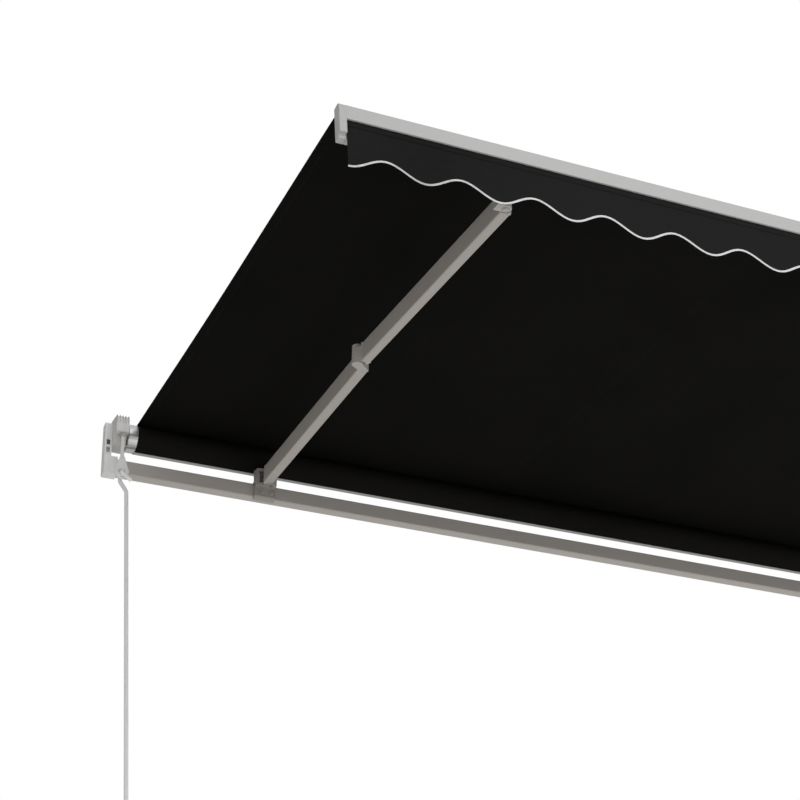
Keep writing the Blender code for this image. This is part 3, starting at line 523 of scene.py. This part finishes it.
# Ribs on the gearbox and the collar round the worm's stem
def build_gearbox():
    case_low, case_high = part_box("gear_case")
    front = case_low.y
    nose = ROLLER.z + NOSE_UP
    brow = ROLLER.z + BROW_UP
    crown = case_high.z
    outline = [(front + 0.001, nose - 0.016), (front - 0.0012, nose - 0.014),
               (front - 0.0024, nose - 0.010), (front - 0.0024, nose + 0.001),
               (front + 0.0048, brow + 0.0028), (ROLLER.y - 0.010, crown + 0.0008),
               (ROLLER.y - 0.002, crown + 0.0020), (ROLLER.y + 0.003, crown - 0.0006),
               (ROLLER.y, crown - 0.002), (front + 0.008, brow - 0.001),
               (front + 0.001, nose - 0.001)]
    bm = bmesh.new()
    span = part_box("gear_cover")[1].x - case_low.x - 2 * FIN_IN - FIN_T
    for number in range(FINS):
        x = case_low.x + FIN_IN + span * number / (FINS - 1)
        face = bm.faces.new([bm.verts.new((x, y, z)) for y, z in outline])
        grown = bmesh.ops.extrude_face_region(bm, geom=[face])["geom"]
        moved = [v for v in grown if isinstance(v, bmesh.types.BMVert)]
        bmesh.ops.translate(bm, verts=moved, vec=(FIN_T, 0, 0))
    bmesh.ops.bevel(bm, geom=bm.edges[:], offset=0.0003, segments=1, affect="EDGES")
    finish_mesh("gear_ribs", bm, cast_paint, "frame")
    stem = middle("worm_eye")
    profile = ((0.0, 0.0053), (0.0, 0.0086), (-0.0012, 0.0094), (-0.0040, 0.0094), (-0.0048, 0.0088),
               (-0.0058, 0.0076), (-0.0068, 0.0074), (-0.0072, 0.0068), (-0.0072, 0.0053))
    bm = bmesh.new()
    steps = 32
    rings = []
    for down, radius in profile:
        ring = []
        for k in range(steps):
            angle = tau * k / steps
            ring.append(bm.verts.new((stem.x + radius * cos(angle), stem.y + radius * sin(angle),
                                      ROLLER.z - COLLAR_DOWN + down)))
        rings.append(ring)
    for first, second in zip(rings, rings[1:] + rings[:1]):
        for k in range(steps):
            j = (k + 1) % steps
            bm.faces.new((first[k], first[j], second[j], second[k]))
    finish_mesh("worm_collar", bm, joint_paint, "frame")


# Paint and metal for the frame's own pieces
def dress():
    looks = {
        bar_paint: ["torsion_bar"],
        pale_paint: ["front_bar", "left_front_cap", "right_front_cap"],
        rod_paint: ["crank_rod"],
        end_paint: ["left_end_bracket", "right_end_bracket", "worm_eye"],
        aluminium: ["roller_tube", "left_roller_cap", "right_roller_cap"],
        bronze: ["worm_wheel"],
        nylon: ["idle_bush", "crank_shaft_grip", "crank_handle_grip", "crank_end_stop",
                "canopy_keder", "valance_keder"],
    }
    steel_words = ("pin", "bolt", "screw", "spring", "pull_rod")
    words = {arm_paint: ("rear_tube", "front_tube"), steel: steel_words,
             joint_paint: ("elbow_fork", "elbow_tongue", "knuckle", "front_bracket"),
             shaded_saddle_paint: ("shoulder_bracket", "bracket_bolt")}
    for name, obj in nodes.items():
        mat = cast_paint
        for look, parts in words.items():
            if any(part in name for part in parts):
                mat = look
        for look, names in looks.items():
            if name in names:
                mat = look
        for slot in obj.material_slots:
            slot.material = mat


# Studio
CAMERA_SPOT = (-2.3030, -3.5483, -2.4319)
CAMERA_HEADING = 24.27          # degrees from +Y towards +X
CAMERA_PITCH = 35.91
CAMERA_ROLL = -3.5
CAMERA_LENS = 81
FLOOR_Z = -2.75


def studio():
    data = bpy.data.cameras.new("camera")
    data.lens = CAMERA_LENS
    data.sensor_width = 36
    data.clip_end = 100
    camera = bpy.data.objects.new("camera", data)
    bpy.context.scene.collection.objects.link(camera)
    turn = (Matrix.Rotation(-radians(CAMERA_HEADING), 4, "Z")
            @ Matrix.Rotation(radians(90 + CAMERA_PITCH), 4, "X")
            @ Matrix.Rotation(radians(CAMERA_ROLL), 4, "Z"))
    camera.matrix_world = Matrix.Translation(CAMERA_SPOT) @ turn
    bpy.context.scene.camera = camera

    bm = bmesh.new()
    bmesh.ops.create_grid(bm, x_segments=1, y_segments=1, size=30)
    bmesh.ops.translate(bm, verts=bm.verts[:], vec=(0, 0, FLOOR_Z))
    mat, tree, links, bsdf = node_material("floor", 0.9, 0.0, 0.1)
    coords = tree.new("ShaderNodeTexCoord").outputs["Object"]
    cloud = noise_node(tree, links, coords, 0.6, 2)
    links.new(ramp(tree, links, cloud, 0.3, 0.7, (0.84, 0.84, 0.835), (0.88, 0.88, 0.875)),
              bsdf.inputs["Base Color"])
    floor = finish_mesh("floor", bm, mat, None, False)

    world = bpy.data.worlds.new("studio")
    bpy.context.scene.world = world
    world.use_nodes = True
    tree = world.node_tree.nodes
    links = world.node_tree.links
    back = tree["Background"]
    back.inputs["Color"].default_value = (1, 1, 1, 1)
    direction = tree.new("ShaderNodeTexCoord").outputs["Generated"]
    side = tree.new("ShaderNodeVectorMath")
    side.operation = "DOT_PRODUCT"
    side.inputs[1].default_value = Vector((0.75, -0.62, 0.1)).normalized()
    links.new(direction, side.inputs[0])
    level = tree.new("ShaderNodeMapRange")
    level.inputs["From Min"].default_value = -1
    level.inputs["From Max"].default_value = 0.8
    level.inputs["To Min"].default_value = 0.17
    level.inputs["To Max"].default_value = 0.95
    links.new(side.outputs["Value"], level.inputs["Value"])
    path = tree.new("ShaderNodeLightPath")
    seen = tree.new("ShaderNodeMix")
    seen.inputs["B"].default_value = 1.0
    shown = tree.new("ShaderNodeMath")
    shown.operation = "MAXIMUM"
    links.new(path.outputs["Is Camera Ray"], shown.inputs[0])
    links.new(path.outputs["Is Transmission Ray"], shown.inputs[1])
    links.new(shown.outputs[0], seen.inputs["Factor"])
    links.new(level.outputs["Result"], seen.inputs["A"])
    links.new(seen.outputs["Result"], back.inputs["Strength"])

    for name, spot, aim, size, power in (
            ("key", (1.5, -6.0, 3.5), (0, -0.7, 0), 3.0, 40),
            ("floor_fill", (0.5, -1.5, -2.5), (0, -0.7, 0), 3.5, 24)):
        lamp = bpy.data.lights.new(name, "AREA")
        lamp.size = size
        lamp.energy = power
        lamp.use_shadow = True
        obj = bpy.data.objects.new(name, lamp)
        obj.location = spot
        obj.rotation_euler = (Vector(aim) - Vector(spot)).to_track_quat("-Z", "Y").to_euler()
        obj.visible_camera = False
        bpy.context.scene.collection.objects.link(obj)
    bpy.context.scene.view_settings.view_transform = "Standard"


dress()
build_canopy()
build_roll()
build_valance()
build_gearbox()
studio()
